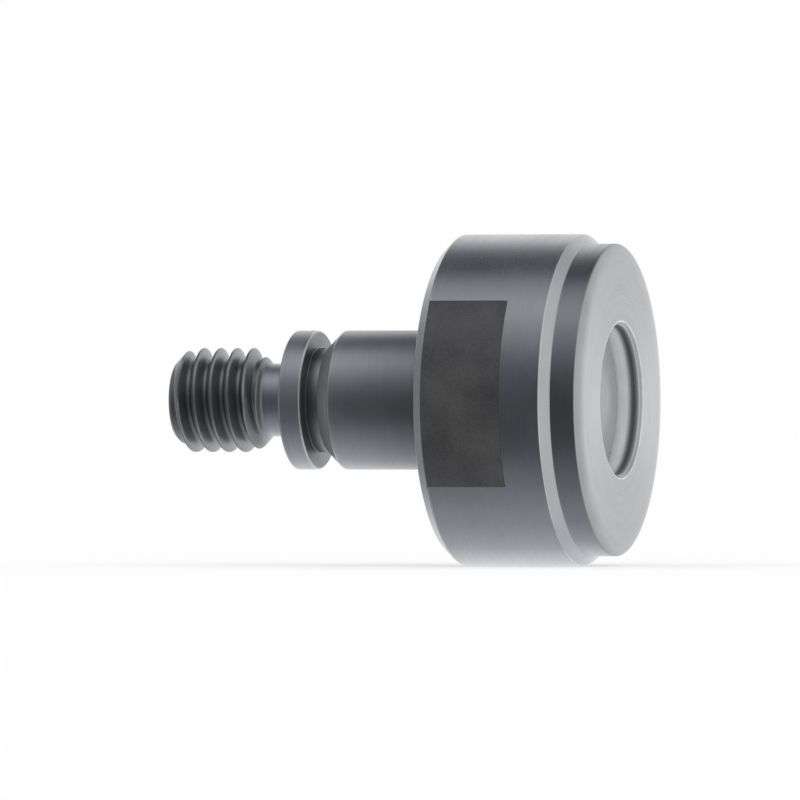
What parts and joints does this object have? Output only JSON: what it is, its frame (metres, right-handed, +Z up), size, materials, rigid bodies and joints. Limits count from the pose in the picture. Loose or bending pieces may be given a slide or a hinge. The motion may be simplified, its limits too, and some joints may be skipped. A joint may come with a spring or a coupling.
{
  "type": "cam follower",
  "caption": "Stud-type cam follower: a hardened steel roller with a stepped front disc turns on needles around a pin with a plain shank, clip groove, collar and threaded end.",
  "frame": {"origin": "on the axis of rotation, in the clamping face of the rear hub, where the plain shank begins", "axes": "+Y along the stud from the clamping face to the threaded end, the roller's front face towards -Y, +Z up, the etched panel towards -X at rest"},
  "size_m": [0.019, 0.0265, 0.019],
  "materials": {
    "roller_steel": "ground rolling surface, satin turned front face, matte dark etched panel",
    "stud_steel": "ground shank, turned and rolled thread, darker than the roller",
    "plate_steel": "turned, satin",
    "spring_steel": "dark phosphated spring steel",
    "needle_steel": "lapped, polished",
    "cage_plastic": "moulded polyamide, black",
    "washer_plastic": "moulded polyamide, dark"
  },
  "bodies": {
    "stud": {"stud": "stud_steel", "side_plate": "plate_steel", "rear_thrust_washer": "washer_plastic"},
    "roller": {"outer_ring": "roller_steel", "snap_ring": "spring_steel", "front_thrust_washer": "washer_plastic"},
    "cage": {"needle_cage": "cage_plastic"},
    "needle_01": {"needle_01": "needle_steel"},
    "needle_02": {"needle_02": "needle_steel"},
    "needle_03": {"needle_03": "needle_steel"},
    "needle_04": {"needle_04": "needle_steel"},
    "needle_05": {"needle_05": "needle_steel"},
    "needle_06": {"needle_06": "needle_steel"},
    "needle_07": {"needle_07": "needle_steel"},
    "needle_08": {"needle_08": "needle_steel"},
    "needle_09": {"needle_09": "needle_steel"},
    "needle_10": {"needle_10": "needle_steel"},
    "needle_11": {"needle_11": "needle_steel"},
    "needle_12": {"needle_12": "needle_steel"},
    "needle_13": {"needle_13": "needle_steel"},
    "needle_14": {"needle_14": "needle_steel"},
    "needle_15": {"needle_15": "needle_steel"}
  },
  "joints": [
    {"name": "roller_spin", "type": "hinge", "parent": "stud", "child": "roller", "pos_m": [0, -0.0052, 0], "axis": [0, 1, 0], "continuous": true},
    {"name": "cage_spin", "type": "hinge", "parent": "stud", "child": "cage", "pos_m": [0, -0.005, 0], "axis": [0, 1, 0], "continuous": true},
    {"name": "needle_01_spin", "type": "hinge", "parent": "cage", "child": "needle_01", "pos_m": [0.00526, -0.005, 0], "axis": [0, 1, 0], "continuous": true},
    {"name": "needle_02_spin", "type": "hinge", "parent": "cage", "child": "needle_02", "pos_m": [0.00481, -0.005, -0.00214], "axis": [0, 1, 0], "continuous": true},
    {"name": "needle_03_spin", "type": "hinge", "parent": "cage", "child": "needle_03", "pos_m": [0.00352, -0.005, -0.00391], "axis": [0, 1, 0], "continuous": true},
    {"name": "needle_04_spin", "type": "hinge", "parent": "cage", "child": "needle_04", "pos_m": [0.00163, -0.005, -0.005], "axis": [0, 1, 0], "continuous": true},
    {"name": "needle_05_spin", "type": "hinge", "parent": "cage", "child": "needle_05", "pos_m": [-0.00055, -0.005, -0.00523], "axis": [0, 1, 0], "continuous": true},
    {"name": "needle_06_spin", "type": "hinge", "parent": "cage", "child": "needle_06", "pos_m": [-0.00263, -0.005, -0.00456], "axis": [0, 1, 0], "continuous": true},
    {"name": "needle_07_spin", "type": "hinge", "parent": "cage", "child": "needle_07", "pos_m": [-0.00426, -0.005, -0.00309], "axis": [0, 1, 0], "continuous": true},
    {"name": "needle_08_spin", "type": "hinge", "parent": "cage", "child": "needle_08", "pos_m": [-0.00515, -0.005, -0.00109], "axis": [0, 1, 0], "continuous": true},
    {"name": "needle_09_spin", "type": "hinge", "parent": "cage", "child": "needle_09", "pos_m": [-0.00515, -0.005, 0.00109], "axis": [0, 1, 0], "continuous": true},
    {"name": "needle_10_spin", "type": "hinge", "parent": "cage", "child": "needle_10", "pos_m": [-0.00426, -0.005, 0.00309], "axis": [0, 1, 0], "continuous": true},
    {"name": "needle_11_spin", "type": "hinge", "parent": "cage", "child": "needle_11", "pos_m": [-0.00263, -0.005, 0.00456], "axis": [0, 1, 0], "continuous": true},
    {"name": "needle_12_spin", "type": "hinge", "parent": "cage", "child": "needle_12", "pos_m": [-0.00055, -0.005, 0.00523], "axis": [0, 1, 0], "continuous": true},
    {"name": "needle_13_spin", "type": "hinge", "parent": "cage", "child": "needle_13", "pos_m": [0.00163, -0.005, 0.005], "axis": [0, 1, 0], "continuous": true},
    {"name": "needle_14_spin", "type": "hinge", "parent": "cage", "child": "needle_14", "pos_m": [0.00352, -0.005, 0.00391], "axis": [0, 1, 0], "continuous": true},
    {"name": "needle_15_spin", "type": "hinge", "parent": "cage", "child": "needle_15", "pos_m": [0.00481, -0.005, 0.00214], "axis": [0, 1, 0], "continuous": true}
  ],
  "couplings": [
    {"joint": "cage_spin", "follows": "roller_spin", "ratio": 0.5722},
    {"joint": "needle_01_spin", "follows": "roller_spin", "ratio": 3.3883},
    {"joint": "needle_02_spin", "follows": "roller_spin", "ratio": 3.3883},
    {"joint": "needle_03_spin", "follows": "roller_spin", "ratio": 3.3883},
    {"joint": "needle_04_spin", "follows": "roller_spin", "ratio": 3.3883},
    {"joint": "needle_05_spin", "follows": "roller_spin", "ratio": 3.3883},
    {"joint": "needle_06_spin", "follows": "roller_spin", "ratio": 3.3883},
    {"joint": "needle_07_spin", "follows": "roller_spin", "ratio": 3.3883},
    {"joint": "needle_08_spin", "follows": "roller_spin", "ratio": 3.3883},
    {"joint": "needle_09_spin", "follows": "roller_spin", "ratio": 3.3883},
    {"joint": "needle_10_spin", "follows": "roller_spin", "ratio": 3.3883},
    {"joint": "needle_11_spin", "follows": "roller_spin", "ratio": 3.3883},
    {"joint": "needle_12_spin", "follows": "roller_spin", "ratio": 3.3883},
    {"joint": "needle_13_spin", "follows": "roller_spin", "ratio": 3.3883},
    {"joint": "needle_14_spin", "follows": "roller_spin", "ratio": 3.3883},
    {"joint": "needle_15_spin", "follows": "roller_spin", "ratio": 3.3883}
  ]
}
